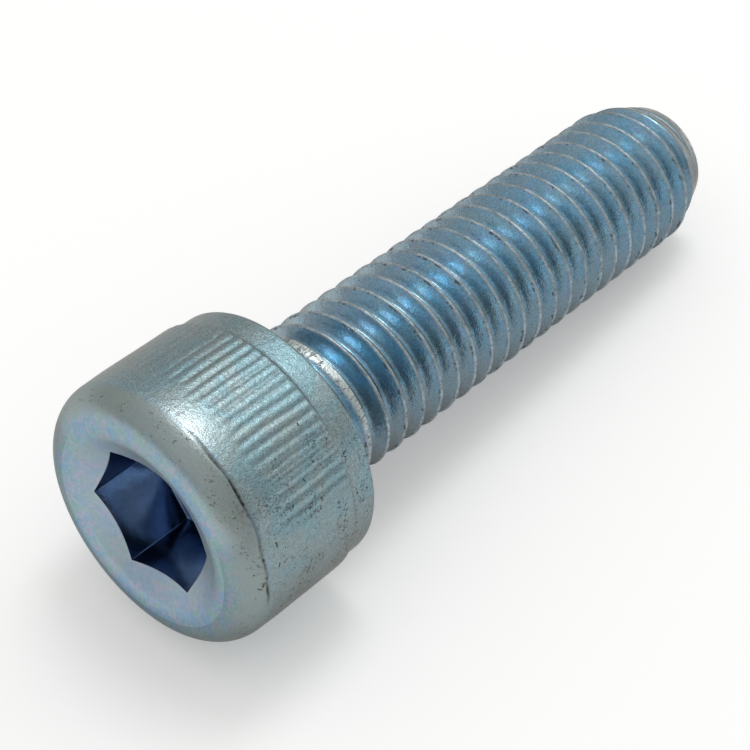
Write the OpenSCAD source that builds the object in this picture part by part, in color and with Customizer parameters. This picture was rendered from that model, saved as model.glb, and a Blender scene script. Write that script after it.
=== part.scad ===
// Hexagon socket head cap screw, M8 x 30, with a coarse right-hand thread cut up to the head.
//
// The screw is drawn upright on its head, turned in one profile, and then laid on its side as it
// rests: the end of the ribbed band and the last full thread touch the plane z = 0, and the axis
// runs along +X from the head to the tip. The origin is the middle of the screw's box, on that plane.

/* [Thread] */
// Major diameter, over the crests
thread_d = 7.9; // [7.8:0.05:8]
// Pitch of the thread
pitch = 1.25; // [1:0.25:1.25]
// Length of the screw under its head
length = 30; // [20:1:40]
// Depth of the full thread
thread_depth = 0.72; // [0.6:0.02:0.74]
// Distance from the bearing face to where the groove starts to bite
runout_start = 1.4; // [1:0.1:3]
// Distance over which the groove reaches its full depth
runout_len = 1.1; // [0.4:0.1:1.8]

/* [Head] */
// Diameter of the head over its ribs
head_d = 13; // [12.6:0.1:13.2]
// Height of the head
head_h = 8; // [7.6:0.1:8]
// Diameter of the plain margin beside the bearing face
margin_d = 12.64; // [12.2:0.02:12.8]
// Radius of the rounded rim round the socket face
rim_round = 1.5; // [0.8:0.1:1.7]
// Chamfer between the margin and the bearing face
rim_chamfer = 0.1; // [0.05:0.05:0.4]
// Radius of the fillet between the bearing face and the shank
neck_fillet = 0.4; // [0.2:0.1:0.6]

/* [Ribbed band] */
// Number of straight ribs pressed round the head
rib_count = 76; // [60:4:90]
// How deep the furrows between the ribs are
rib_depth = 0.1; // [0.06:0.02:0.14]
// Distance from the socket face to the start of the ribs
band_start = 1.9; // [1.8:0.1:3]
// Distance from the socket face to the end of the ribs
band_end = 6.55; // [5:0.05:7]
// Length over which the ribs rise to their full height
rib_lead = 0.6; // [0.2:0.1:1]

/* [Socket] */
// Width across the flats of the hexagon
hex_af = 6.14; // [6.02:0.02:6.14]
// Depth of the flats, from the socket face
hex_depth = 4; // [3:0.25:4.5]
// Diameter of the countersink at the socket face
mouth_d = 8.8; // [7.2:0.1:9]
// Included angle of the countersink at the mouth
mouth_angle = 120; // [90:10:130]
// Included angle of the drilled bottom
bottom_angle = 120; // [90:10:140]

/* [Tip] */
// Diameter of the flat end
tip_d = 5.9; // [5:0.1:6.2]
// Length of the tapered end
tip_len = 2.2; // [1:0.1:3]

/* [Lie] */
// How far the hexagon is turned about the axis
hex_turn = 20; // [0:5:55]
// How far the start of the thread is turned about the axis
thread_turn = 285; // [0:5:355]

/* [Hidden] */

head_r = head_d / 2;
furrow_r = head_r - rib_depth;
margin_r = margin_d / 2;
crest_r = thread_d / 2;
// The plain neck is a hair thinner than the crests.
neck_relief = 0.03;
neck_r = crest_r - neck_relief;
tip_r = tip_d / 2;
screw_h = head_h + length;

// Thread form: flanks at 60 degrees to each other, and a root flat as wide as the crest flat.
flank_w = thread_depth * tan(30);
crest_w = pitch / 2 - flank_w;
// Meridians round one turn of the thread.
meridians = 36;

// Sides of the round profiles.
sides = 96;
// How far a cutter reaches past the face that it opens.
over = 1;
// How far one turned solid reaches into the next.
lap = 0.1;

// The line through the two contacts gives the lie. The box is then as long as from the rounded
// rim of the socket face to the upper edge of the tip.
lie = atan((head_r - crest_r) / (screw_h - tip_len - band_end));
low_x = rim_round * (cos(lie) - 1) - (furrow_r - rim_round) * sin(lie);
high_x = screw_h * cos(lie) + tip_r * sin(lie);
axis_z = band_end * sin(lie) + head_r * cos(lie);

// A share between 0 and 1.
function share(t) = min(1, max(0, t));

// How deep the groove is cut at a height, as a share of the full thread: none at the plain neck.
function bite(z) = share((z - head_h - runout_start) / runout_len);

// Radius of the helical surface at a height, on the meridian at a given share of a turn. Towards
// the head the whole groove is lifted, so that it gets shallower and the land beside it wider.
function thread_r(z, turn) =
    let (climb = (z - head_h) / pitch - turn,
         along = pitch * (climb - floor(climb)),
         from_crest = min(along, pitch - along) - crest_w / 2)
    crest_r - thread_depth * max(0, share(from_crest / flank_w) + bite(z) - 1);

// The helical thread between two heights, as one closed skin. Each meridian holds the four corners
// of every turn's form, and the last meridian meets the first one a pitch further on. The two
// corners of the crest spread over most of the flanks where the groove is lifted.
module thread(z0, z1) {
    corners = [-crest_w / 2, crest_w / 2, crest_w / 2 + flank_w, pitch - crest_w / 2 - flank_w];
    spread = flank_w * [-0.9, 0.9, 0, 0];
    first = floor((z0 - head_h) / pitch) - 1;
    rows = 4 * (ceil((z1 - head_h) / pitch) + 1 - first);
    function height(m, i) =
        let (z = head_h + pitch * (first + floor(i / 4) + m / meridians) + corners[i % 4])
        min(z1, max(z0, z + spread[i % 4] * (1 - bite(z))));
    function at(m, i) = m < meridians ? m * rows + i : min(rows - 1, i + 4);
    points = [for (m = [0 : meridians - 1], i = [0 : rows - 1])
        let (a = 360 * m / meridians, z = height(m, i), r = thread_r(z, m / meridians))
        [r * cos(a), r * sin(a), z]];
    skin = [for (m = [0 : meridians - 1], i = [0 : rows - 2]) each [
        if (height(m, i) < height(m, i + 1))
            [at(m, i), at(m, i + 1), at(m + 1, i)],
        if (height(m + 1, i) < height(m + 1, i + 1))
            [at(m, i + 1), at(m + 1, i + 1), at(m + 1, i)]
    ]];
    low_end = [for (m = [0 : meridians - 1]) at(m, 0)];
    high_end = [for (m = [meridians - 1 : -1 : 0]) at(m, rows - 1)];
    polyhedron(points, concat(skin, [low_end, high_end]));
}

// Head and plain neck, turned in one profile: rounded rim, furrow floor, margin and fillet.
module blank() {
    rotate_extrude($fn = sides) {
        square([furrow_r - rim_round, head_h]);
        translate([furrow_r - rim_round, rim_round]) intersection() {
            circle(rim_round);
            translate([0, -rim_round]) square(rim_round);
        }
        translate([0, rim_round]) square([furrow_r, band_end - rim_round]);
        polygon([[0, band_end - over], [margin_r, band_end - over],
                 [margin_r, head_h - rim_chamfer], [margin_r - rim_chamfer, head_h], [0, head_h]]);
        square([neck_r, head_h + runout_start - lap]);
        difference() {
            translate([neck_r - lap, head_h - lap]) square(neck_fillet + lap);
            translate([neck_r, head_h] + neck_fillet * [1, 1]) circle(neck_fillet);
        }
    }
}

// Straight ribs round the head: a toothed ring whose ribs rise from the furrow floor over the
// lead. Their flanks would meet a little below that floor, which leaves it some width.
module ribs() {
    floor_cut = 0.02;
    teeth = [for (i = [0 : 2 * rib_count - 1])
        let (a = 180 * i / rib_count, r = i % 2 == 0 ? head_r : furrow_r - floor_cut)
        r * [cos(a), sin(a)]];
    intersection() {
        translate([0, 0, band_start - rib_lead])
            linear_extrude(band_end - band_start + rib_lead) polygon(teeth);
        rotate_extrude($fn = sides)
            polygon([[0, 0], [furrow_r - rib_depth, 0],
                     [furrow_r - rib_depth, band_start - rib_lead],
                     [head_r + rib_depth, band_start + 2 * rib_lead],
                     [head_r + rib_depth, head_h], [0, head_h]]);
    }
}

// Full thread, ending in the tapered tip with its flat end.
module shank() {
    intersection() {
        rotate(thread_turn) thread(head_h + runout_start / 2, screw_h + over);
        rotate_extrude($fn = sides)
            polygon([[0, head_h], [crest_r + over, head_h],
                     [crest_r + over, screw_h - tip_len - over],
                     [crest_r, screw_h - tip_len], [tip_r, screw_h], [0, screw_h]]);
    }
}

// A cone that opens towards -Z from its point, down to a plane at height z0.
module cone(point_h, z0, angle) {
    translate([0, 0, z0])
        cylinder(r1 = (point_h - z0) * tan(angle / 2), r2 = 0, h = point_h - z0, $fn = sides);
}

// The recess for the key: hexagon, countersunk mouth and the drill's cone at the bottom, with a
// blunt point.
module socket() {
    flat_r = hex_af / 2;
    blunt_r = 0.2;
    rotate(hex_turn) translate([0, 0, -over])
        cylinder(r = flat_r / cos(30), h = hex_depth + over, $fn = 6);
    cone(mouth_d / 2 / tan(mouth_angle / 2), -over, mouth_angle);
    translate([0, 0, hex_depth])
        cylinder(r1 = flat_r, r2 = blunt_r, h = (flat_r - blunt_r) / tan(bottom_angle / 2),
                 $fn = sides);
}

module cap_screw() {
    color("lightsteelblue")
        translate([-(low_x + high_x) / 2, 0, axis_z]) rotate([0, 90 + lie, 0])
            difference() {
                union() {
                    blank();
                    ribs();
                    shank();
                }
                socket();
            }
}

cap_screw();
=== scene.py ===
# %% [markdown]
# # A zinc-plated cap screw, lying on its side
# A socket head cap screw is one piece of steel: the head is forged in a die, the hexagon is
# punched into it, the ribs are rolled round the head so that fingers can grip it, and the thread is
# rolled between two flat dies. Then it is plated with zinc and dipped in a blue passivate.
# Here the whole screw is one closed skin worked out with numpy, ring by ring, from the bottom of
# the key recess to the flat end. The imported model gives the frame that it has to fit.

# %% The frame
import math

import bpy
import numpy as np
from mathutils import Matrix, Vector


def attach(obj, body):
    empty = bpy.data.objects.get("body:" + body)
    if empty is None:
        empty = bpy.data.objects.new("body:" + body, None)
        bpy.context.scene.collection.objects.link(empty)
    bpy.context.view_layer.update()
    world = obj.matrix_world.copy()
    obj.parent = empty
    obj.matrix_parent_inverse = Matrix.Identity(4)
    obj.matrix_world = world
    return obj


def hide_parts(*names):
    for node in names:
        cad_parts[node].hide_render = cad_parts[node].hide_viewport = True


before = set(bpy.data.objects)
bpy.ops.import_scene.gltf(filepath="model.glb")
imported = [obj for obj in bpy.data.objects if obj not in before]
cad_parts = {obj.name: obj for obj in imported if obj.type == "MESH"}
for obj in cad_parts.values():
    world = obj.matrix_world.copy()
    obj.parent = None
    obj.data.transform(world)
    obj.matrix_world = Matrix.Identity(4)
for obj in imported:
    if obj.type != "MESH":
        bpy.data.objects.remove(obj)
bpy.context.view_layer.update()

# %% [markdown]
# ## Sizes
# These are the sizes of an M8 x 30 screw, in millimetres. `x` is measured along the axis from the
# socket face to the tip, `r` is the distance from the axis, and `turn` is the angle round it, with
# 0 pointing at the floor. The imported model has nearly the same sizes: here the mouth of the recess
# is a little wider and the neck under the head a little thinner. The screw rests on the end of its
# ribs and on its last full thread, and so its axis dips a little.

# %% Sizes in millimetres
MM = 0.001  # metres in a millimetre
HEAD_R = 6.5  # over the ribs
HEAD_H = 8.0
SCREW_H = 38.0  # from the socket face to the tip
CREST_R = 3.95
THREAD_DEPTH = 0.72
PITCH = 1.25
MARGIN_R = 6.32  # of the plain margin beside the bearing face
BAND_START = 1.9  # from the socket face to the ribs
BAND_END = 6.55
RIB_COUNT = 76
RIB_DEPTH = 0.1
RIM_ROUND = 1.5
FILLET = 0.4
NECK_R = 3.79
HEX_FLAT = 3.07  # half the width across the flats
HEX_DEPTH = 4.0
HEX_TURN = math.radians(20)
MOUTH_R = 4.5
MOUTH_SLOPE = math.radians(63)  # between the axis and the countersink
TIP_R = 2.95
TIP_LEN = 2.2
THREAD_TURN = math.radians(285)

# The dip of the axis, and three unit vectors: along the axis, from it to the floor, and across.
LIE = math.atan((HEAD_R - CREST_R) / (SCREW_H - TIP_LEN - BAND_END))
AXIS = np.array([math.cos(LIE), 0, -math.sin(LIE)])
DOWN = np.array([-math.sin(LIE), 0, -math.cos(LIE)])
ACROSS = np.array([0, 1.0, 0])

# The middle of the socket face, from the middle of the lying screw's box on the floor.
FURROW_R = HEAD_R - RIB_DEPTH
LOW_X = RIM_ROUND * (math.cos(LIE) - 1) - (FURROW_R - RIM_ROUND) * math.sin(LIE)
HIGH_X = SCREW_H * math.cos(LIE) + TIP_R * math.sin(LIE)
AXIS_Z = BAND_END * math.sin(LIE) + HEAD_R * math.cos(LIE)
FACE_CENTRE = np.array([-(LOW_X + HIGH_X) / 2, 0, AXIS_Z])
print("the axis dips by", round(math.degrees(LIE), 2), "degrees; face centre", FACE_CENTRE.round(3))

# %% [markdown]
# ## The camera
# The camera looks down on the socket face from the front left. It stands only a hand's width away,
# so the head looks larger than the tip, as small parts do when they are looked at closely.

# %% Camera
CAMERA_FROM_FACE = np.array([-31.78, -41.38, 63.70])
CAMERA_LOOKS = Vector((0.5152, 0.4547, -0.7265))
scene = bpy.context.scene
scene.view_settings.view_transform = "Standard"
camera_data = bpy.data.cameras.new("camera")
camera_data.sensor_width = 36
camera_data.lens = 91.685
camera_data.clip_start = 0.001
camera_data.clip_end = 20
camera = bpy.data.objects.new("camera", camera_data)
camera.location = Vector((FACE_CENTRE + CAMERA_FROM_FACE) * MM)
camera.rotation_mode = "QUATERNION"
camera.rotation_quaternion = CAMERA_LOOKS.to_track_quat("-Z", "Y")
scene.collection.objects.link(camera)
scene.camera = camera
print("camera", round(camera.location.length / MM, 1), "mm away")

# %% [markdown]
# ## Nodes
# The room, the floor and the plating are all node trees. Most of these helpers make one node and
# return the socket that the next one needs, so that a line of code reads like a line of arithmetic.


# %% Node helpers
def feed(tree, socket, value):
    """Links a socket's source to it, or sets it where the value is a plain number."""
    if isinstance(value, bpy.types.NodeSocket):
        tree.links.new(value, socket)
    else:
        socket.default_value = value


def node(tree, kind, inputs=None, **settings):
    """A node of that kind with those settings, and with its inputs fed by name or by place."""
    made = tree.nodes.new(kind)
    for name, value in settings.items():
        setattr(made, name, value)
    for name, value in (inputs or {}).items():
        feed(tree, made.inputs[name], value)
    return made


def maths(tree, operation, a, b=0.0):
    """One step of arithmetic on sockets or numbers."""
    return node(tree, "ShaderNodeMath", {0: a, 1: b}, operation=operation).outputs[0]


def plus(tree, a, b):
    """a + b."""
    return maths(tree, "ADD", a, b)


def minus(tree, a, b):
    """a - b."""
    return maths(tree, "SUBTRACT", a, b)


def times(tree, a, b):
    """a times b."""
    return maths(tree, "MULTIPLY", a, b)


def vectors(tree, operation, a, b=(0, 0, 0)):
    """One step of vector arithmetic on sockets or triples."""
    made = node(tree, "ShaderNodeVectorMath", {0: a, 1: b}, operation=operation)
    return made.outputs["Value" if operation == "DOT_PRODUCT" else "Vector"]


def scaled(tree, vector, share):
    """A vector or a colour times a number."""
    made = node(tree, "ShaderNodeVectorMath", {0: vector, "Scale": share}, operation="SCALE")
    return made.outputs["Vector"]


print("node helpers ready")

# %% [markdown]
# ## The light
# A screw is a bundle of small curved mirrors, so what it shows is mostly its surroundings. One
# small soft lamp overhead draws the bright streak along the top of the head. The room round it is a
# dim, slightly warm grey with four broad glows, and these are what the rest of the metal mirrors.


# %% Lamp
def toward(azimuth, elevation):
    """Unit vector to a place in the room: azimuth 0 is the front, and 90 is the screw's tip."""
    a, e = math.radians(azimuth), math.radians(elevation)
    return Vector((math.sin(a) * math.cos(e), -math.cos(a) * math.cos(e), math.sin(e)))


SOFTBOX = {"way": toward(110, 75), "distance": 0.30, "size": 0.095, "watts": 0.155,
           "colour": (0.97, 1, 1)}
softbox_data = bpy.data.lights.new("overhead_softbox", "AREA")
softbox_data.shape = "SQUARE"
softbox_data.size = SOFTBOX["size"]
softbox_data.energy = SOFTBOX["watts"]
softbox_data.color = SOFTBOX["colour"]
softbox = bpy.data.objects.new("overhead_softbox", softbox_data)
softbox.location = SOFTBOX["way"] * SOFTBOX["distance"]
softbox.rotation_mode = "QUATERNION"
softbox.rotation_quaternion = (-SOFTBOX["way"]).to_track_quat("-Z", "Y")
scene.collection.objects.link(softbox)
print("softbox", SOFTBOX["distance"], "m away")

# %% Room
# Each glow is colour times exp(tightness times (cosine of the angle to its middle - 1)).
ROOM = {"X": 0.36, "Y": 0.345, "Z": 0.33}
GLOWS = [
    {"way": toward(95, 58), "tightness": 9, "colour": (0.87, 0.88, 0.85)},
    {"way": toward(270, 50), "tightness": 3, "colour": (0.38, 0.38, 0.40)},
    {"way": toward(170, 28), "tightness": 5, "colour": (0.17, 0.17, 0.17)},
    {"way": toward(58, 40), "tightness": 10, "colour": (0.20, 0.24, 0.24)},
]
world = bpy.data.worlds.new("studio")
scene.world = world
world.use_nodes = True
tree = world.node_tree
tree.nodes.clear()
way = vectors(tree, "NORMALIZE", node(tree, "ShaderNodeTexCoord").outputs["Generated"])
light = node(tree, "ShaderNodeCombineXYZ", ROOM).outputs[0]
for glow in GLOWS:
    near = vectors(tree, "DOT_PRODUCT", way, tuple(glow["way"]))
    fall = maths(tree, "EXPONENT", times(tree, minus(tree, near, 1.0), glow["tightness"]))
    light = vectors(tree, "ADD", light, scaled(tree, glow["colour"], fall))
room = node(tree, "ShaderNodeBackground", {"Color": light, "Strength": 1.0})
node(tree, "ShaderNodeOutputWorld", {"Surface": room.outputs[0]})
print("room with", len(GLOWS), "glows")

# %% [markdown]
# ## The floor
# The screw lies on a sheet of white paper. The paper takes the screw's shadow like any other, and a
# little light of its own, seen only by the camera and in the metal, lifts it to white.

# %% Floor
FLOOR = 3.0  # half its width, in metres
PAPER = (0.9, 0.9, 0.9, 1)
PAPER_GLOW = 0.24
floor_mesh = bpy.data.meshes.new("floor")
floor_corners = [(-FLOOR, -FLOOR, 0), (FLOOR, -FLOOR, 0), (FLOOR, FLOOR, 0), (-FLOOR, FLOOR, 0)]
floor_mesh.from_pydata(floor_corners, [], [(0, 1, 2, 3)])
floor = bpy.data.objects.new("floor", floor_mesh)
scene.collection.objects.link(floor)
paper = bpy.data.materials.new("white_paper")
paper.use_nodes = True
tree = paper.node_tree
tree.nodes.clear()
path = node(tree, "ShaderNodeLightPath").outputs
seen = maths(tree, "MAXIMUM", path["Is Camera Ray"], path["Is Glossy Ray"])
seen = maths(tree, "MAXIMUM", seen, path["Is Transmission Ray"])
lift = node(tree, "ShaderNodeEmission", {"Strength": times(tree, seen, PAPER_GLOW)})
matt = node(tree, "ShaderNodeBsdfDiffuse", {"Color": PAPER})
both = node(tree, "ShaderNodeAddShader", {0: matt.outputs[0], 1: lift.outputs[0]})
node(tree, "ShaderNodeOutputMaterial", {"Surface": both.outputs[0]})
floor_mesh.materials.append(paper)
print("floor", 2 * FLOOR, "m wide")

# %% [markdown]
# ## Rings
# Every ring holds its points in the order of the turn. Two rings with the same number of points
# are joined by quads. Where the number changes, as between the ribbed head and the plain neck,
# `stitch` lays a fan from each point of the coarse ring to its share of the fine one.

# %% Ring helpers
AROUND_HEAD = 6 * RIB_COUNT  # points in a ring
AROUND_SHANK = AROUND_HEAD // 4
HEAD_TURNS = 2 * np.pi * np.arange(AROUND_HEAD) / AROUND_HEAD
SHANK_TURNS = 2 * np.pi * np.arange(AROUND_SHANK) / AROUND_SHANK
FACE_ZONE, RIM_ZONE, SIDE_ZONE, UNDER_ZONE, THREAD_ZONE, TIP_ZONE, SOCKET_ZONE = range(7)
skin = {"x": [], "r": [], "turn": [], "zone": [], "faces": [], "count": 0}


def add_points(x, r, turn, zone):
    """Adds points to the skin and returns their numbers, in the arrays' own shape."""
    x, r, turn, zone = np.broadcast_arrays(x, r, turn, zone)
    first = skin["count"]
    for key, values in (("x", x), ("r", r), ("turn", turn), ("zone", zone)):
        skin[key].append(np.asarray(values, float).ravel())
    skin["count"] += x.size
    return first + np.arange(x.size).reshape(x.shape)


def join_rows(rows):
    """Quads between each row of point numbers and the next one, closed round the turn."""
    after = np.roll(rows, -1, axis=1)
    quads = np.stack([rows[:-1], after[:-1], after[1:], rows[1:]], axis=-1)
    skin["faces"].append(quads.reshape(-1, 4))


def three_sided(corners):
    """Triangles in the four columns of the quads, with -1 for the corner that they lack."""
    return np.concatenate([corners, np.full((len(corners), 1), -1)], axis=1)


def stitch(early, late):
    """Triangles between two rings, one of which has a whole number of times the other's points."""
    fine, coarse = (early, late) if len(early) > len(late) else (late, early)
    share = len(fine) // len(coarse)
    fan = np.stack([np.roll(fine, -i) for i in range(share + 1)])[:, ::share]
    inner = np.stack([np.broadcast_to(coarse, fan[:-1].shape), fan[:-1], fan[1:]], axis=-1)
    close = np.stack([coarse, fan[-1], np.roll(coarse, -1)], axis=-1)
    corners = np.concatenate([inner.reshape(-1, 3), close])
    outward = [1, 2, 0] if fine is early else [0, 2, 1]
    skin["faces"].append(three_sided(corners[:, outward]))


def cap(ring, x, zone, first):
    """Closes a ring with a fan to a point on the axis. `first` says that the point comes before it."""
    middle = np.full(len(ring), int(add_points(x, 0.0, 0.0, zone)))
    after = np.roll(ring, -1)
    corners = [middle, after, ring] if first else [middle, ring, after]
    skin["faces"].append(three_sided(np.stack(corners, axis=-1)))


print("rings of", AROUND_HEAD, "points round the head and", AROUND_SHANK, "round the shank")

# %% [markdown]
# ## Shaping
# Worn metal is never quite even. Two of these helpers are seeded, so they give the same slight
# waves and the same nicks each time; the others soften the places where one shape meets another.


# %% Shaping helpers
def ease(t):
    """0 below 0, 1 above 1, and 3tt - 2ttt between."""
    t = np.clip(t, 0, 1)
    return t * t * (3 - 2 * t)


def soft_min(a, b, k):
    """The smaller of two values, with the corner between them rounded over a width k."""
    h = np.clip(k - np.abs(a - b), 0, None) / k
    return np.minimum(a, b) - h * h * k / 4


def hump(t, width):
    """A bell round 0: exp(-(t / width) squared)."""
    return np.exp(-(t / width) ** 2)


def facing(turn, middle, start, width):
    """1 on the side of the screw round a middle turn, and 0 away from it: the cosine of the angle
    between, eased from a start value over a width."""
    return ease((np.cos(turn - middle) - start) / width)


def unevenness(turn, x, around, per_mm, seed):
    """Smooth values between -1 and 1: random heights on a lattice round and along the screw, blended
    with 3tt - 2ttt from one to the next."""
    steps = int(SCREW_H * per_mm) + 3
    lattice = np.random.default_rng(seed).uniform(-1, 1, (around, steps))
    u = np.mod(turn / (2 * np.pi), 1) * around
    v = np.clip(np.asarray(x, float) * per_mm, 0, steps - 1.001)
    i, j = np.floor(u).astype(int), np.floor(v).astype(int)
    p, q = ease(u - i), ease(v - j)
    i, k = i % around, (i + 1) % around
    low = lattice[i, j] * (1 - p) + lattice[k, j] * p
    high = lattice[i, j + 1] * (1 - p) + lattice[k, j + 1] * p
    return low * (1 - q) + high * q


def dents(x, turn, radius, count, x_range, width, seed):
    """Shallow nicks at random places: the sum of humps across x and across the arc radius x turn."""
    rng = np.random.default_rng(seed)
    at_x = rng.uniform(x_range[0], x_range[1], count)
    at_turn = rng.uniform(0, 2 * np.pi, count)
    size = width * rng.uniform(0.7, 1.5, count)
    depth = rng.uniform(0.25, 1, count)
    total = np.zeros(np.broadcast(x, turn).shape)
    for place_x, place_turn, wide, deep in zip(at_x, at_turn, size, depth):
        off = np.mod(turn - place_turn + np.pi, 2 * np.pi) - np.pi
        total += deep * hump(x - place_x, wide) * hump(off * radius, wide)
    return total


print("shaping helpers ready")

# %% [markdown]
# ## The key recess
# The punch leaves six flats, and a shelf where they meet the drilled cone under them. The mouth
# is countersunk, and its cone cuts the flats in six shallow curves. The points along a flat crowd
# at its ends, so that the corners stay sharp under smooth shading.

# %% Key recess
DRILL_R = 2.97
BLUNT_R = 0.2
DRILL_SLOPE = math.pi / 3
SHELF_BEVEL = 0.04
MOUTH_BEVEL = 0.012
MOUTH_BLEND = 0.35  # half the width over which the countersink turns into the face

side_points = AROUND_SHANK // 6
middle_points = np.linspace(-0.84, 0.84, side_points - 5)
along_side = np.concatenate([[-1, -0.975, -0.92], middle_points, [0.92, 0.975]])
from_middle = np.arctan(along_side * math.tan(math.pi / 6))
side_turns = np.arange(6) * math.pi / 3
hex_turns = (from_middle[None, :] + side_turns[:, None]).ravel()
wall_r = np.tile(HEX_FLAT / np.cos(from_middle), 6)
hex_turns = hex_turns + HEX_TURN + math.pi / 6
edge_x = (MOUTH_R - wall_r) / math.tan(MOUTH_SLOPE)


def drill_x(radius):
    """Place of the drilled cone at a radius: depth + (flat - r) / tan 60."""
    return HEX_DEPTH + (HEX_FLAT - radius) / math.tan(DRILL_SLOPE)


cone_r = np.array([BLUNT_R, 0.6, 1.2, 1.8, 2.4, 2.85, DRILL_R])[:, None]
cone_rows = add_points(drill_x(cone_r), cone_r, hex_turns, SOCKET_ZONE)
cap(cone_rows[0], drill_x(BLUNT_R), SOCKET_ZONE, True)
shelf_r = np.stack([np.full_like(wall_r, DRILL_R + 0.03), wall_r - SHELF_BEVEL])
shelf_rows = add_points(HEX_DEPTH, shelf_r, hex_turns, SOCKET_ZONE)
down_wall = np.array([1, 0.985, 0.96, 0.9, 0.8, 0.65, 0.5, 0.35, 0.2, 0.1, 0.07, 0.045, 0.02, 0])[:, None]
wall_x = edge_x + MOUTH_BEVEL + (HEX_DEPTH - SHELF_BEVEL - edge_x) * down_wall
wall_rows = add_points(wall_x, wall_r, hex_turns, SOCKET_ZONE)
sink_share = np.array([0.0, 0.05, 0.2, 0.4, 0.6, 0.8])[:, None]
sink_r = wall_r + (MOUTH_R - MOUTH_BLEND - wall_r) * sink_share
sink_rows = add_points((MOUTH_R - sink_r) / math.tan(MOUTH_SLOPE), sink_r, hex_turns, FACE_ZONE)
join_rows(np.concatenate([cone_rows, shelf_rows, wall_rows, sink_rows]))
print("recess:", 2 * HEX_FLAT, "mm across flats,", 2 * MOUTH_R, "mm across the mouth")

# %% [markdown]
# ## The face
# The countersink turns into the flat face over a soft parabola, because it is forged, not cut, and
# forging leaves no sharp edge there. Meanwhile the points, still crowded at the corners of the
# hexagon, move round until they stand more evenly.

# %% Face
blend = np.linspace(-1, 1, 9)[:, None]
relax = np.linspace(0.05, 0.7, 9)[:, None]
even_turns = SHANK_TURNS + hex_turns[0]
face_x = MOUTH_BLEND / math.tan(MOUTH_SLOPE) * (1 - blend) ** 2 / 4
face_rows = add_points(face_x, MOUTH_R + MOUTH_BLEND * blend,
                       hex_turns * (1 - relax) + even_turns * relax, FACE_ZONE)
join_rows(np.concatenate([sink_rows[-1:], face_rows]))
print("face:", len(face_rows), "rings from the countersink")

# %% [markdown]
# ## The head
# The rim of the face is a quarter of a circle. The ribs are rolled in after forging, so
# they fade where the roller ran out, and the metal that it pushed aside ends in a step beside a
# plain margin. The forging die left a thin, wavy fold at the foot of the rim on one side. Each of
# these is a relief that is taken off the radius of the rings.


# %% Head profile
def rings(x, r, zone):
    """Rows of a profile: place along the axis, radius and zone."""
    return np.stack(np.broadcast_arrays(x, r, zone), axis=1)


arc = np.radians(np.concatenate([np.linspace(0, 50, 9), np.linspace(53, 90, 24)]))
margin_drop = np.array([0, 0, 0, 0, 0, 0, 0.01, 0.05])
profile = np.concatenate([
    rings([0.0, 0.0], [4.90, 4.95], FACE_ZONE),
    rings(RIM_ROUND * (1 - np.cos(arc)), HEAD_R - RIM_ROUND + RIM_ROUND * np.sin(arc), RIM_ZONE),
    rings(np.linspace(1.66, 6.42, 30), HEAD_R, SIDE_ZONE),
    rings([6.50, 6.55, 6.60], [HEAD_R - 0.01, HEAD_R - 0.05, MARGIN_R + 0.03], SIDE_ZONE),
    rings([6.66, 6.8, 7.1, 7.4, 7.7, 7.84, 7.9, 7.96], MARGIN_R - margin_drop, SIDE_ZONE),
    rings([HEAD_H], [MARGIN_R - 0.13], UNDER_ZONE)])
prof_x, prof_r, prof_zone = (profile[:, i][:, None] for i in range(3))
print("head profile:", len(profile), "rings")

# %% Ribs
MISSED_TURN = math.radians(286)  # where the roller hardly touched the head
FAINT_TURN = math.radians(120)
RIB_SHARPNESS = 1.8
RIB_LEAD = 0.8


def furrows(x, turn):
    """Share of the rib relief, 0 on the ribs' tops and 1 in the furrows: a cosine wave round the
    head to a power, eased out at both ends and where the roller pressed less."""
    sway = 0.10 * unevenness(turn, x, around=RIB_COUNT // 2, per_mm=0.5, seed=11)
    furrow = (0.5 - 0.5 * np.cos(RIB_COUNT * turn + 2 * np.pi * sway)) ** RIB_SHARPNESS
    ragged = 0.3 * unevenness(turn, 0 * x, around=RIB_COUNT, per_mm=0.5, seed=12)
    run_in = BAND_START + 0.35 + ragged
    length = ease((x - run_in) / RIB_LEAD) * ease((BAND_END + 0.05 - x) / 0.12)
    missed = 0.9 * facing(turn, MISSED_TURN, 0.68, 0.17)
    faint = 0.75 * facing(turn, FAINT_TURN, 0.50, 0.35)
    return furrow * length * (1 - missed) * (1 - faint)


print("ribs:", RIB_COUNT)

# %% Forging fold
FOLD_X = 1.17
FOLD_WIDTH = 0.07
FOLD_FROM, FOLD_TO = math.radians(188), math.radians(283)


def forging_fold(x, turn):
    """Share of the fold's depth: a narrow hump across x that wanders along the foot of the rim, from
    the top of the head down its front."""
    wander = 0.07 * unevenness(turn, 0 * x, around=26, per_mm=0.5, seed=21)
    jitter = 0.03 * unevenness(turn, 0 * x, around=90, per_mm=0.5, seed=22)
    reach = ease((turn - FOLD_FROM) / 0.4) * ease((FOLD_TO - turn) / 0.35)
    broken = 0.75 + 0.45 * unevenness(turn, 0 * x, around=48, per_mm=0.5, seed=23)
    return hump(x - FOLD_X - wander - jitter, FOLD_WIDTH) * reach * np.clip(broken, 0.2, 1)


print("fold from", round(math.degrees(FOLD_FROM)), "to", round(math.degrees(FOLD_TO)), "degrees")

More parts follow.
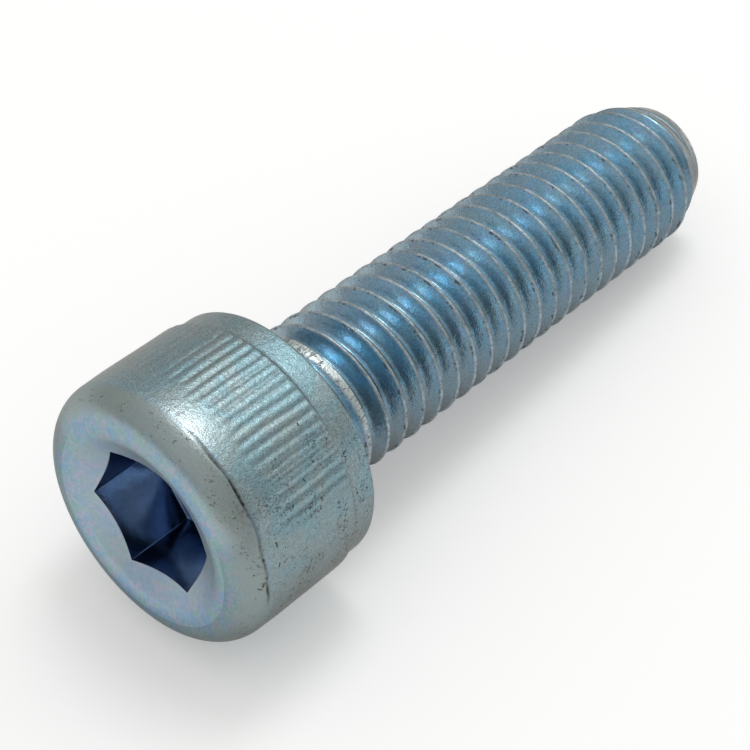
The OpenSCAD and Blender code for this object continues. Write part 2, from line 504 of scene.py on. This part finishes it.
# %% Head
CROWN = 0.045  # how much the head draws in towards its rim
RIB_RELIEF = 0.055
FOLD_DEPTH = 0.09
WAVE = 0.007
DENT_DEPTH = 0.025
outside = ease((prof_r - 5.5) / 0.8)
head_r = prof_r - RIB_RELIEF * furrows(prof_x, HEAD_TURNS)
head_r = head_r - FOLD_DEPTH * forging_fold(prof_x, HEAD_TURNS)
head_r = head_r - CROWN * outside * (1 - ease((prof_x - 1.0) / 2.0))
head_r = head_r + WAVE * outside * unevenness(HEAD_TURNS, prof_x, around=22, per_mm=0.6, seed=31)
nicks = dents(prof_x, HEAD_TURNS, HEAD_R, count=26, x_range=(1.5, 7.6), width=0.16, seed=32)
head_r = head_r - DENT_DEPTH * outside * nicks
head_rows = add_points(prof_x, head_r, HEAD_TURNS, prof_zone)
shift = int(round(even_turns[0] / (2 * math.pi) * AROUND_HEAD))
stitch(face_rows[-1], np.roll(head_rows[0], -shift))
join_rows(head_rows)
print("head:", len(profile), "rings of", AROUND_HEAD)

# %% Bearing face and neck
under_r = np.array([6.0, 5.4, 4.8, 4.45])
fillet = np.radians(np.linspace(0, 90, 6))
neck_x = np.concatenate([np.full(len(under_r), HEAD_H), HEAD_H + FILLET * (1 - np.cos(fillet))])
neck_r = np.concatenate([under_r, NECK_R + FILLET * (1 - np.sin(fillet))])
under_rows = add_points(neck_x[:, None], neck_r[:, None], SHANK_TURNS, UNDER_ZONE)
stitch(head_rows[-1], under_rows[0])
join_rows(under_rows)
print("bearing face from", 2 * under_r[0], "mm in to the neck")

# %% [markdown]
# ## The thread
# A rolled thread is a helix: the form travels one pitch along the axis in one turn. The grid follows
# it, so each row of points runs along a crest, a flank or the root, and the edges stay crisp. A row
# that has gone once round meets the same row of the next turn. At both ends the rows are held
# at the end ring, and faces that shrink to nothing there are left out. The crests are where a
# screw gets knocked in its box, so they are nicked and a little uneven.

# %% Thread form
CREST_HALF = 0.06
ROOT_HALF = (PITCH / 2 - THREAD_DEPTH * math.tan(math.pi / 6)) / 2
FLANK_W = PITCH / 2 - ROOT_HALF - CREST_HALF
FORM_WIDTHS = np.array([0, 0.04, 0.075, 0.11, 0.16, 0.27, 0.40, 0.49, 0.56])
FORM = np.concatenate([FORM_WIDTHS, [PITCH / 2], PITCH - FORM_WIDTHS[:0:-1]])
THREAD_START = 8.7
THREAD_END = SCREW_H - 0.12
NECK_RISE = 0.95
RUNOUT_START = HEAD_H + 1.4
RUNOUT_LEN = 1.1
TAPER_LEN = 2.45
END_R = 2.92
CREST_WAVE = 0.012
NICK_DEPTH = 0.07


def groove_share(x, turn):
    """Depth of the groove as a share of the full thread: it grows over a flank's width with rounded
    corners, and towards the head the whole groove is lifted, which leaves a wider land."""
    climb = (x - HEAD_H) / PITCH - np.mod(turn - THREAD_TURN, 2 * np.pi) / (2 * np.pi)
    along = PITCH * np.mod(climb, 1)
    ramp = (np.minimum(along, PITCH - along) - CREST_HALF) / FLANK_W
    bite = np.clip((x - RUNOUT_START) / RUNOUT_LEN, 0, 1)
    ramp = soft_min(ramp, np.ones_like(ramp), 0.25) + bite - 1
    return -soft_min(-ramp, np.zeros_like(ramp), 0.14)


def thread_radius(x, turn):
    """Crest radius, less the groove, the nicks and the unevenness. The tapered end then cuts what
    stands above its cone."""
    share = groove_share(x, turn)
    on_crest = 1 - ease(share / 0.2)
    outer = NECK_R + (CREST_R - NECK_R) * np.clip((x - THREAD_START) / NECK_RISE, 0, 1)
    taper = CREST_R + (END_R - CREST_R) * (x - (SCREW_H - TAPER_LEN)) / TAPER_LEN
    taper = taper + 0.02 * unevenness(turn, x, around=16, per_mm=1.0, seed=42)
    knocked = NICK_DEPTH * dents(x, turn, CREST_R, count=150, x_range=(10, 37), width=0.17, seed=41)
    knocked = knocked + CREST_WAVE * (1 + unevenness(turn, x, around=24, per_mm=0.8, seed=43))
    return soft_min(outer - THREAD_DEPTH * share - on_crest * knocked, taper, 0.10)


def helix_rows():
    """The grid of the thread: rows along the helix, one for each point of the form in each pitch."""
    turns = 2 * np.pi * np.arange(AROUND_SHANK + 1) / AROUND_SHANK
    first = math.floor((THREAD_START - HEAD_H) / PITCH) - 2
    last = math.ceil((THREAD_END - HEAD_H) / PITCH) + 1
    heights = (HEAD_H + PITCH * np.arange(first, last)[:, None] + FORM[None, :]).ravel()
    return heights[:, None] + PITCH * (turns[None, :] - THREAD_TURN) / (2 * np.pi), turns


print("thread form:", len(FORM), "rows a pitch")

# %% Thread
thread_x, thread_turns = helix_rows()
grid_x = thread_x[:, :-1]
grid_turns = np.broadcast_to(thread_turns[:-1], grid_x.shape)
start_r = thread_radius(np.full(AROUND_SHANK, THREAD_START), SHANK_TURNS)
start_ring = add_points(THREAD_START, start_r, SHANK_TURNS, THREAD_ZONE)
end_r = thread_radius(np.full(AROUND_SHANK, THREAD_END), SHANK_TURNS)
end_ring = add_points(THREAD_END, end_r, SHANK_TURNS, TIP_ZONE)
own = (grid_x > THREAD_START) & (grid_x < THREAD_END)
own_x, own_turns = grid_x[own], grid_turns[own]
grid_numbers = np.where(grid_x <= THREAD_START, start_ring[None, :], end_ring[None, :])
grid_numbers[own] = add_points(own_x, thread_radius(own_x, own_turns), own_turns, THREAD_ZONE)
numbers = np.full(thread_x.shape, end_ring[0])
numbers[:, :-1] = grid_numbers
numbers[:-len(FORM), -1] = numbers[len(FORM):, 0]
corners = [numbers[:-1, :-1], numbers[:-1, 1:], numbers[1:, 1:], numbers[1:, :-1]]
skin["faces"].append(np.stack(corners, axis=-1).reshape(-1, 4))
join_rows(np.stack([under_rows[-1], start_ring]))
print("thread:", int(own.sum()), "points")

# %% [markdown]
# ## The flat end
# The end was sheared flat before the thread was rolled, and the rolling drew its rim forward a
# little, so it is dished by a few hundredths of a millimetre.

# %% Flat end
EDGE_X = SCREW_H - np.array([0.06, 0.02, 0.0])[:, None]
EDGE_R = END_R - np.array([0.005, 0.05, 0.13])[:, None]
DISH_R = np.array([2.2, 1.2, 0.5])[:, None]
DISH = 0.03
edge_rows = add_points(EDGE_X, EDGE_R, SHANK_TURNS, TIP_ZONE)
dish_rows = add_points(SCREW_H - DISH * (1 - DISH_R / END_R), DISH_R, SHANK_TURNS, TIP_ZONE)
join_rows(np.concatenate([end_ring[None, :], edge_rows, dish_rows]))
cap(dish_rows[-1], SCREW_H - DISH, TIP_ZONE, False)
print("flat end:", 2 * END_R, "mm across")

# %% [markdown]
# ## The mesh
# The rings become one mesh: a point lies at the middle of the face, plus x along the axis, plus
# r times the cosine of its turn towards the floor, plus r times the sine across.

# %% Mesh
x, r, turn, zone = (np.concatenate(skin[key]) for key in ("x", "r", "turn", "zone"))
outward = np.cos(turn)[:, None] * DOWN + np.sin(turn)[:, None] * ACROSS
points = MM * (FACE_CENTRE + x[:, None] * AXIS + r[:, None] * outward)


def clean_faces(faces):
    """Drops the repeated corners of each face, and faces left with fewer than three corners."""
    same = faces < 0
    for i in range(4):
        for j in range(i):
            same[:, i] |= faces[:, i] == faces[:, j]
    keep = (~same).sum(axis=1)
    order = np.argsort(same, axis=1, kind="stable")
    ordered = np.take_along_axis(faces, order, axis=1)
    return ordered[keep == 4], ordered[keep == 3][:, :3]


def signed_volume(points, triangles):
    """Volume inside a skin, from the sum of a . (b x c) / 6 over its triangles. It is above 0 when
    they point outwards."""
    a, b, c = (points[triangles[:, i]] for i in range(3))
    return float((a * np.cross(b, c)).sum() / 6)


four, three = clean_faces(np.concatenate(skin["faces"]))
mesh = bpy.data.meshes.new("cap_screw_skin")
corners = np.concatenate([four.ravel(), three.ravel()])
starts = np.concatenate([4 * np.arange(len(four)), 4 * len(four) + 3 * np.arange(len(three))])
mesh.vertices.add(len(points))
mesh.vertices.foreach_set("co", points.astype(np.float32).ravel())
mesh.loops.add(len(corners))
mesh.loops.foreach_set("vertex_index", corners.astype(np.int32))
mesh.polygons.add(len(starts))
mesh.polygons.foreach_set("loop_start", starts.astype(np.int32))
mesh.update(calc_edges=True)
mesh.validate()
mesh.polygons.foreach_set("use_smooth", np.ones(len(starts), bool))
triangles = np.concatenate([four[:, [0, 1, 2]], four[:, [0, 2, 3]], three])
volume = signed_volume(points, triangles) / MM ** 3
print("skin:", len(points), "points,", len(triangles), "triangles,", round(volume, 1), "mm3")

# %% [markdown]
# ## What the mesh remembers
# Each point keeps how much of an edge, a hollow or a rim it is, as attributes that the materials
# read. The hollows and creases are darkened by soil and painted shade, the half towards the floor by
# painted shade, and the countersink is lightened by painted light. The edges are paled by wear and
# painted glints, one patch of the rim carries a painted highlight, and the first land beside the
# neck is torn by the rolling and paled by wear and a painted highlight.

# %% Attributes
# Where the painted highlight on the rim lies: a turn and a place along the axis.
HOT_SPOT_TURN, HOT_SPOT_X = math.radians(193), 1.5
PITTED_TURN = math.radians(262)
FIRST_LAND_END = 10.6
TIP_WEAR_START = 36.6
on_head = zone <= SIDE_ZONE
on_side = zone == SIDE_ZONE
on_thread = (zone == THREAD_ZONE) | (zone == TIP_ZONE)
share = np.where(on_thread, groove_share(np.minimum(x, THREAD_END), turn), 0)

rim = ease((r - 5.0) / 1.1) * ease((1.35 - x) / 0.35) * on_head
# Painted light: the countersink is lightened, most beside the flats.
mouth_start = MOUTH_R - 2 * MOUTH_BLEND
mouth = (zone == FACE_ZONE) * (1 - ease((r - mouth_start) / (3 * MOUTH_BLEND)))
# Painted shade: 1 on the half of the screw towards the floor, which the materials darken.
lower_painted_shade = facing(turn, 0.0, -0.80, 0.50) * (zone != FACE_ZONE) * (zone != SOCKET_ZONE)
pitted = on_head * ease((x - 0.9) / 1.5) * facing(turn, PITTED_TURN, 0.55, 0.35)

fold = forging_fold(x, turn) * on_head
step = hump(x - BAND_END - 0.08, 0.10) * on_side
furrow = furrows(x, turn) * on_side
# Soil and painted shade: the fold, the step beside the margin, the rib furrows and the bearing face.
soil_and_crease_shade = 1.2 * fold + 0.1 * step + 0.25 * furrow + 0.15 * (zone == UNDER_ZONE)

hex_angle = np.mod(turn - HEX_TURN, math.pi / 3) - math.pi / 6
# Painted glint: a pale line along the edge where the countersink meets the flats.
lip_glint = hump(r - HEX_FLAT / np.cos(hex_angle), 0.05) * (x < 0.9)
# Painted highlight: a pale hot spot on the rim at the top of the head.
painted_hot_spot = hump(turn - HOT_SPOT_TURN, math.radians(13)) * hump(x - HOT_SPOT_X, 0.5) * on_head * (r > 6)
# Crest wear with a painted highlight: pale on every crest, and most on the first land by the neck.
land = (1 - ease(share / 0.14)) * (0.6 + 0.4 * ease((FIRST_LAND_END - x) / 0.3))
land = land * on_thread * ease((x - 8.8) / 0.2) * ease((SCREW_H - TAPER_LEN - x) / 0.3 + 1)
tip_edge = ease((x - TIP_WEAR_START) / 0.5) * (1 - ease(share / 0.3)) * on_thread
wear_and_highlight = 0.6 * lip_glint + 0.9 * painted_hot_spot + land + tip_edge

attributes = {
    "rim": rim,
    "mouth": mouth,
    "lower_painted_shade": lower_painted_shade,
    "soil_and_crease_shade": np.clip(soil_and_crease_shade, 0, 1),
    "wear_and_highlight": np.clip(wear_and_highlight, 0, 1),
    "pitted": pitted,
    "groove": np.clip(share, 0, 1),
    "side": on_head * ease((x - 0.8) / 0.8),
    "grain": (0.12 + 0.88 * ease((r - 4.9) / 1.4)) * (1 - 0.55 * rim),
    "depth": np.clip(x / HEX_DEPTH, 0, 1) * (zone == SOCKET_ZONE),
}
for name, values in attributes.items():
    mesh.attributes.new(name, "FLOAT", "POINT").data.foreach_set("value", values.astype(np.float32))
print("attributes:", ", ".join(attributes))

# %% [markdown]
# ## The plating
# Zinc with a blue passivate is a mirror that has been roughened on the scale of a few hundredths of
# a millimetre, under a film so thin that it tints the metal blue, and lilac where it is thicker.
# The same effects lie on every face of the screw in other amounts, so each is a node group:
# the grain of the plating, the patchy tint of the film, dark specks and fine scratches.
# They are laid out in millimetres along the screw's axis.


# %% Group helpers
def new_group(name, inputs, outputs):
    """An empty shader group with named sockets; returns its tree, the inputs and the outputs."""
    group = bpy.data.node_groups.new(name, "ShaderNodeTree")
    for label, kind, value in inputs:
        socket = group.interface.new_socket(label, in_out="INPUT", socket_type="NodeSocket" + kind)
        if value is not None:
            socket.default_value = value
    for label, kind in outputs:
        group.interface.new_socket(label, in_out="OUTPUT", socket_type="NodeSocket" + kind)
    return group, node(group, "NodeGroupInput").outputs, node(group, "NodeGroupOutput").inputs


def use_group(tree, group, inputs):
    """A group node in a material, fed with sockets or numbers; returns its outputs."""
    return node(tree, "ShaderNodeGroup", inputs, node_tree=group).outputs


def noise(tree, vector, scale, detail=2.0, roughness=0.5, distortion=0.0):
    """Noise of so many features a millimetre, between 0 and 1."""
    inputs = {"Vector": vector, "Scale": scale, "Detail": detail, "Roughness": roughness,
              "Distortion": distortion}
    return node(tree, "ShaderNodeTexNoise", inputs).outputs["Fac"]


def between(tree, value, low, high, to_low=0.0, to_high=1.0):
    """A value's place between two bounds, smoothed and held at both ends."""
    inputs = {0: value, 1: low, 2: high, 3: to_low, 4: to_high}
    return node(tree, "ShaderNodeMapRange", inputs, interpolation_type="SMOOTHSTEP").outputs[0]


def blend_colours(tree, share, first, second):
    """The first colour, changed by a share of the second one."""
    inputs = {"Factor": share, "A": first, "B": second}
    return node(tree, "ShaderNodeMix", inputs, data_type="RGBA").outputs["Result"]


print("group helpers ready")

# %% [markdown]
# ## Grain
# Zinc grows on the steel as tiny crystals, which make the surface finely rough and let single ones
# sparkle. The group sums a fine and a coarse noise, and gives a height for the bump, a sparkle for
# the roughness and a shade for the colour.

# %% Group: plating grain
group, fed, out = new_group(
    "plating_grain",
    [("Vector", "Vector", None), ("Fineness", "Float", 12.0), ("Height in mm", "Float", 0.006)],
    [("Height", "Float"), ("Sparkle", "Float"), ("Shade", "Float")])
fine = noise(group, fed["Vector"], fed["Fineness"], detail=2.5, roughness=0.6)
coarse = noise(group, fed["Vector"], times(group, fed["Fineness"], 0.27))
heap = plus(group, fine, times(group, coarse, 1.6))
feed(group, out["Height"], times(group, heap, fed["Height in mm"]))
feed(group, out["Sparkle"], between(group, fine, 0.35, 0.68))
feed(group, out["Shade"], between(group, fine, 0.30, 0.70, 0.80, 1.20))
grain_group = group
print("group:", group.name)

# %% [markdown]
# ## Film
# The passivate dries in patches, so its colour wanders between blue and grey over a millimetre or
# two, with smaller lilac clouds where the film is thicker.

# %% Group: passivate film
group, fed, out = new_group(
    "passivate_film",
    [("Vector", "Vector", None), ("Blue", "Color", None), ("Grey", "Color", None),
     ("Lilac", "Color", None), ("Lilac share", "Float", 0.4), ("Patches a mm", "Float", 0.5)],
    [("Color", "Color"), ("Thickness", "Float")])
wide = noise(group, fed["Vector"], fed["Patches a mm"], detail=3.0, roughness=0.6, distortion=0.8)
elsewhere = vectors(group, "ADD", fed["Vector"], (31.0, 17.0, 5.0))
clouds = noise(group, elsewhere, times(group, fed["Patches a mm"], 2.7), detail=4.0, roughness=0.65)
tint = blend_colours(group, between(group, wide, 0.42, 0.58), fed["Blue"], fed["Grey"])
lilac = times(group, between(group, clouds, 0.48, 0.62), fed["Lilac share"])
tint = blend_colours(group, lilac, tint, fed["Lilac"])
mottle = noise(group, fed["Vector"], 5.0, detail=4.0, roughness=0.7)
feed(group, out["Color"], scaled(group, tint, between(group, mottle, 0.3, 0.7, 0.90, 1.10)))
feed(group, out["Thickness"], wide)
film_group = group
print("group:", group.name)

# %% [markdown]
# ## Specks
# Grease and grit from the workshop stick in pores of the plating as dark specks, in crowds. A speck
# is where a noise passes a level, and the level is lower where there should be more of them.

# %% Group: dark specks
group, fed, out = new_group(
    "dark_specks",
    [("Vector", "Vector", None), ("Specks a mm", "Float", 6.0), ("Amount", "Float", 0.3)],
    [("Mask", "Float")])
crowd = between(group, noise(group, fed["Vector"], 0.9), 0.38, 0.64, 0.35, 1.2)
level = minus(group, 0.80, times(group, times(group, fed["Amount"], crowd), 0.46))
spots = noise(group, fed["Vector"], fed["Specks a mm"], roughness=0.55, distortion=0.6)
feed(group, out["Mask"], between(group, spots, level, plus(group, level, 0.05)))
speck_group = group
print("group:", group.name)

# %% [markdown]
# ## Scratches
# Keys and other screws leave hair-fine scratches. They are the thin lines where a stretched noise
# crosses its middle value, kept only in some places.

# %% Group: fine scratches
group, fed, out = new_group(
    "fine_scratches",
    [("Vector", "Vector", None), ("Along", "Vector", (0.5, 9.0, 9.0)), ("Amount", "Float", 0.3)],
    [("Mask", "Float")])
drawn = vectors(group, "MULTIPLY", fed["Vector"], fed["Along"])
waves = noise(group, drawn, 1.0, detail=1.0, roughness=0.4, distortion=0.25)
line = between(group, maths(group, "ABSOLUTE", minus(group, waves, 0.5)), 0.0, 0.02, 1.0, 0.0)
places = noise(group, fed["Vector"], 1.1)
sparse = between(group, places, minus(group, 0.78, times(group, fed["Amount"], 0.5)), 0.8)
feed(group, out["Mask"], times(group, line, sparse))
scratch_group = group
print("group:", group.name)

# %% [markdown]
# ## The start of each finish
# The three finishes share one metal. A bare metal mirrors more at a slant, but this rough film
# takes that away again, which the edge tint says. The dark brownish colour stands for soil and also
# for painted shade; the pale one shows worn metal and also serves as a painted highlight.

# %% Finish helpers
EDGE_TINT = (0.60, 0.58, 0.56, 1)
SOIL_AND_SHADE = (0.055, 0.050, 0.042, 1)
PALE_WEAR_AND_HIGHLIGHT = (0.64, 0.71, 0.72, 1)


def plating(name):
    """A new metal material: its tree, its shader, and the place on the screw in millimetres, with x
    along the axis from the socket face."""
    made = bpy.data.materials.new(name)
    made.use_nodes = True
    tree = made.node_tree
    shader = tree.nodes["Principled BSDF"]
    shader.inputs["Metallic"].default_value = 1.0
    shader.inputs["Specular Tint"].default_value = EDGE_TINT
    centre_x, _, centre_z = FACE_CENTRE
    offset = (-centre_x * math.cos(LIE) + centre_z * math.sin(LIE), 0,
              -centre_x * math.sin(LIE) - centre_z * math.cos(LIE))
    inputs = {"Vector": node(tree, "ShaderNodeTexCoord").outputs["Object"],
              "Scale": (1 / MM,) * 3, "Rotation": (0, -LIE, 0), "Location": offset}
    mesh.materials.append(made)
    return tree, shader, node(tree, "ShaderNodeMapping", inputs).outputs[0]


def attribute(tree, name):
    """One of the skin's own values."""
    return node(tree, "ShaderNodeAttribute", attribute_name=name).outputs["Fac"]


def slant(tree, first, last):
    """How far the surface is turned from the eye: 0 up to the first value of 1 - cosine, 1 from the
    last. The film's colour is deepest where it is seen square on."""
    turned = node(tree, "ShaderNodeLayerWeight", {"Blend": 0.5}).outputs["Facing"]
    return node(tree, "ShaderNodeMapRange", {0: turned, 1: first, 2: last}).outputs[0]


def cover(tree, colour, mask, share, paint):
    """Lays a paint over a colour. Where the mask is 1, it covers the given share."""
    return blend_colours(tree, times(tree, mask, share), colour, paint)


def add_up(tree, start, *changes):
    """A start value, plus each mask times its own amount."""
    total = start
    for mask, amount in changes:
        total = plus(tree, total, times(tree, mask, amount))
    return total


def relief(tree, shader, height_in_mm):
    """Gives the shader a bump whose height is in millimetres."""
    inputs = {"Strength": 1.0, "Distance": MM, "Height": height_in_mm}
    feed(tree, shader.inputs["Normal"], node(tree, "ShaderNodeBump", inputs).outputs[0])


print("finish helpers ready")

# %% [markdown]
# ## Head plating
# The face was pressed smooth by the die, the rim is dull with a painted olive reflection laid over
# it, and the side is the grainiest part. The side loses its blue at a slant, the countersink is
# lightened with painted light, and the half towards the floor is darkened with painted shade.

# %% Head: film
FACE_FILM = {"Blue": (0.245, 0.390, 0.530, 1), "Grey": (0.280, 0.425, 0.440, 1),
             "Lilac": (0.385, 0.390, 0.510, 1), "Lilac share": 0.8, "Patches a mm": 0.75}
SIDE_FILM = {"Blue": (0.275, 0.425, 0.480, 1), "Grey": (0.320, 0.420, 0.445, 1),
             "Lilac": (0.330, 0.410, 0.470, 1), "Lilac share": 0.3, "Patches a mm": 0.4}
PAINTED_OLIVE_REFLECTION = (0.345, 0.408, 0.392, 1)
SLANTED_SIDE = (0.335, 0.360, 0.360, 1)
PAINTED_COUNTERSINK_LIGHT = (0.480, 0.530, 0.600, 1)

tree, shader, place = plating("head_plating")
rim_share, side, countersink_light_share = (attribute(tree, name) for name in ("rim", "side", "mouth"))
face_film = use_group(tree, film_group, {"Vector": place, **FACE_FILM})
side_film = use_group(tree, film_group, {"Vector": place, **SIDE_FILM})
colour = blend_colours(tree, side, face_film["Color"], side_film["Color"])
# Painted reflection: an olive tint is laid over the rim.
colour = cover(tree, colour, rim_share, 0.85, PAINTED_OLIVE_REFLECTION)
colour = cover(tree, colour, slant(tree, 0.35, 0.95), side, SLANTED_SIDE)
# Painted light: the countersink is paled.
colour = cover(tree, colour, countersink_light_share, 0.35, PAINTED_COUNTERSINK_LIGHT)
# Painted shade: the head is darkened by up to 22 percent on the half towards the floor.
painted_underside_shade = between(tree, attribute(tree, "lower_painted_shade"), 0.5, 1.0)
colour = scaled(tree, colour, minus(tree, 1.0, times(tree, painted_underside_shade, 0.22)))
print("head film:", len(tree.nodes), "nodes")

# %% [markdown]
# ## Head soil, painted shade and highlights, and relief
# Soil and painted shade darken the fold, the rib furrows, the step at their end and the bearing
# face. Dark specks gather along the fold and on the lower half of the side, in two sizes. A painted
# highlight pales a patch of the rim, and a painted glint the edge of the recess. The grain and the
# specks are also in the relief, so that they catch the light.

# %% Head: soil, painted shade and highlight, and relief
PAINTED_HEAD_HIGHLIGHT = (0.55, 0.58, 0.60, 1)
HEAD_ROUGHNESS = 0.22
soil_and_shade_share, wear_and_highlight_share = attribute(tree, "soil_and_crease_shade"), attribute(tree, "wear_and_highlight")
coarseness, pitted_share = attribute(tree, "grain"), attribute(tree, "pitted")
dirty = maths(tree, "MAXIMUM", soil_and_shade_share, times(tree, rim_share, 0.35))
dirty = times(tree, dirty, 0.55)
pit_amount = plus(tree, maths(tree, "MAXIMUM", dirty, times(tree, pitted_share, 0.25)), 0.08)
pits = use_group(tree, speck_group, {"Vector": place, "Specks a mm": 4.5, "Amount": pit_amount})["Mask"]
dust_amount = plus(tree, maths(tree, "MAXIMUM", dirty, times(tree, pitted_share, 0.3)), 0.18)
dust_place = vectors(tree, "ADD", place, (7.0, 3.0, 11.0))
dust = use_group(tree, speck_group,
                 {"Vector": dust_place, "Specks a mm": 9.0, "Amount": dust_amount})["Mask"]
# Soil and painted shade: the fold, the rib furrows, the step and the bearing face are darkened.
colour = cover(tree, colour, soil_and_shade_share, 0.92, SOIL_AND_SHADE)
colour = cover(tree, colour, dust, 0.65, SOIL_AND_SHADE)
colour = cover(tree, colour, pits, 0.85, SOIL_AND_SHADE)
# Painted highlight: the hot spot on the rim and the glint at the mouth of the recess are lightened.
colour = cover(tree, colour, wear_and_highlight_share, 0.6, PAINTED_HEAD_HIGHLIGHT)
grain = use_group(tree, grain_group, {"Vector": place, "Fineness": 14.0, "Height in mm": 0.017})
shade = times(tree, minus(tree, grain["Shade"], 1.0), coarseness)
feed(tree, shader.inputs["Base Color"], scaled(tree, colour, plus(tree, shade, 1.0)))
feed(tree, shader.inputs["Roughness"],
     add_up(tree, HEAD_ROUGHNESS, (side, 0.03), (rim_share, 0.07), (countersink_light_share, 0.15),
            (soil_and_shade_share, 0.2), (wear_and_highlight_share, -0.08), (grain["Sparkle"], 0.16)))
scratches = use_group(tree, scratch_group,
                      {"Vector": place, "Along": (6.0, 0.7, 5.0), "Amount": 0.5})["Mask"]
height = times(tree, grain["Height"], coarseness)
relief(tree, shader, add_up(tree, height, (pits, -0.03), (scratches, -0.003)))
print("head plating:", len(tree.nodes), "nodes")

# %% [markdown]
# ## Thread plating
# The flanks were burnished by the rolling dies, so they are the glossiest part, and two of them face
# each other, which deepens their blue. The crests are duller and greyer, with broken lines of dirt
# beside them. The crests and the first land by the neck are paled by wear and a painted highlight,
# and the edge of the tip by wear; the first land and the tip are torn. The half towards the floor is
# darkened with painted shade.

# %% Thread: film
THREAD_FILM = {"Blue": (0.200, 0.430, 0.605, 1), "Grey": (0.245, 0.430, 0.540, 1),
               "Lilac": (0.265, 0.405, 0.600, 1), "Lilac share": 0.6, "Patches a mm": 0.6}
SLANTED_THREAD = (0.385, 0.435, 0.455, 1)
CREST_GREY = (0.385, 0.465, 0.510)

tree, shader, place = plating("thread_plating")
groove, wear_and_highlight_share = attribute(tree, "groove"), attribute(tree, "wear_and_highlight")
lower_shade_share = attribute(tree, "lower_painted_shade")
flank = between(tree, groove, 0.02, 0.16)
film = use_group(tree, film_group, {"Vector": place, **THREAD_FILM})
flank_colour = blend_colours(tree, slant(tree, 0.08, 0.55), film["Color"], SLANTED_THREAD)
worn = between(tree, noise(tree, place, 1.5, detail=4.0, roughness=0.65), 0.36, 0.62, 0.70, 1.10)
colour = blend_colours(tree, flank, scaled(tree, CREST_GREY, worn), flank_colour)
# Painted shade: the thread is darker on the half towards the floor, its flanks more than its crests.
painted_lower_shade = times(tree, lower_shade_share, add_up(tree, 0.17, (flank, 0.25)))
colour = scaled(tree, colour, minus(tree, 1.0, painted_lower_shade))
# Wear and painted highlight: the crests and the first land are paled, less on the half towards the floor.
bright = times(tree, times(tree, maths(tree, "POWER", wear_and_highlight_share, 2.5), 0.9), worn)
bright = times(tree, bright, add_up(tree, 1.0, (lower_shade_share, -0.7)))
colour = blend_colours(tree, bright, colour, PALE_WEAR_AND_HIGHLIGHT)
print("thread film:", len(tree.nodes), "nodes")

# %% Thread: soil and relief
beside_crest = between(tree, groove, 0.02, 0.10)
beside_crest = times(tree, beside_crest, between(tree, groove, 0.12, 0.30, 1.0, 0.0))
dash_amount = add_up(tree, 0.05, (beside_crest, 0.50))
dashes = use_group(tree, speck_group,
                   {"Vector": place, "Specks a mm": 4.0, "Amount": dash_amount})["Mask"]
dust_place = vectors(tree, "ADD", place, (7.0, 3.0, 11.0))
dust = use_group(tree, speck_group,
                 {"Vector": dust_place, "Specks a mm": 9.0, "Amount": 0.22})["Mask"]
crossways = vectors(tree, "MULTIPLY", place, (2.2, 7.0, 7.0))
torn = noise(tree, crossways, 1.0, detail=3.0, roughness=0.6, distortion=0.5)
torn = times(tree, between(tree, torn, 0.53, 0.60), wear_and_highlight_share)
colour = cover(tree, colour, dashes, 0.7, SOIL_AND_SHADE)
colour = cover(tree, colour, dust, 0.45, SOIL_AND_SHADE)
colour = cover(tree, colour, torn, 0.6, SOIL_AND_SHADE)
grain = use_group(tree, grain_group, {"Vector": place, "Fineness": 15.0, "Height in mm": 0.009})
feed(tree, shader.inputs["Base Color"], scaled(tree, colour, grain["Shade"]))
gloss = between(tree, groove, 0.02, 0.4, 0.24, 0.14)
feed(tree, shader.inputs["Roughness"], add_up(tree, gloss, (film["Thickness"], 0.12)))
height = times(tree, grain["Height"], between(tree, groove, 0.0, 0.2, 2.2, 0.9))
relief(tree, shader, add_up(tree, height, (dashes, -0.02), (torn, -0.02)))
print("thread plating:", len(tree.nodes), "nodes")

# %% [markdown]
# ## Recess plating
# The punched flats are smooth and mirror each other, so the film's blue is seen three or four times
# over and turns to navy. The punch left a few fine lines along the axis, and the edge of the mouth
# carries a painted pinkish glint.

# %% Recess plating
RECESS_FILM = {"Blue": (0.235, 0.335, 0.490, 1), "Grey": (0.250, 0.340, 0.470, 1),
               "Lilac": (0.290, 0.360, 0.510, 1), "Lilac share": 0.5, "Patches a mm": 0.5}
PAINTED_LIP_GLINT = (0.42, 0.38, 0.45, 1)

tree, shader, place = plating("recess_plating")
film = use_group(tree, film_group, {"Vector": place, **RECESS_FILM})
dust = use_group(tree, speck_group, {"Vector": place, "Specks a mm": 6.0, "Amount": 0.12})["Mask"]
# Painted glint: the edge of the mouth is lightened with a pinkish colour.
colour = cover(tree, film["Color"], attribute(tree, "wear_and_highlight"), 0.6, PAINTED_LIP_GLINT)
feed(tree, shader.inputs["Base Color"], cover(tree, colour, dust, 0.5, SOIL_AND_SHADE))
gloss = between(tree, attribute(tree, "depth"), 0.02, 0.2, 0.23, 0.10)
feed(tree, shader.inputs["Roughness"], add_up(tree, gloss, (film["Thickness"], 0.06)))
grain = use_group(tree, grain_group, {"Vector": place, "Fineness": 10.0, "Height in mm": 0.002})
punched = use_group(tree, scratch_group,
                    {"Vector": place, "Along": (0.5, 7.0, 7.0), "Amount": 0.6})["Mask"]
relief(tree, shader, add_up(tree, grain["Height"], (punched, -0.003)))
print("recess plating:", len(tree.nodes), "nodes")

# %% [markdown]
# ## The screw
# Each face takes its finish from the zone of its first corner. The skin rides on the one body of
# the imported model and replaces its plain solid.

# %% The screw
first_corner = np.concatenate([four[:, 0], three[:, 0]])
slots = np.where(zone == SOCKET_ZONE, 2, np.where(on_thread, 1, 0))[first_corner]
mesh.polygons.foreach_set("material_index", slots.astype(np.int32))
screw = bpy.data.objects.new("cap_screw_skin", mesh)
scene.collection.objects.link(screw)
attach(screw, "root")
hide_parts("cap_screw")
print("screw placed with", len(mesh.materials), "materials")
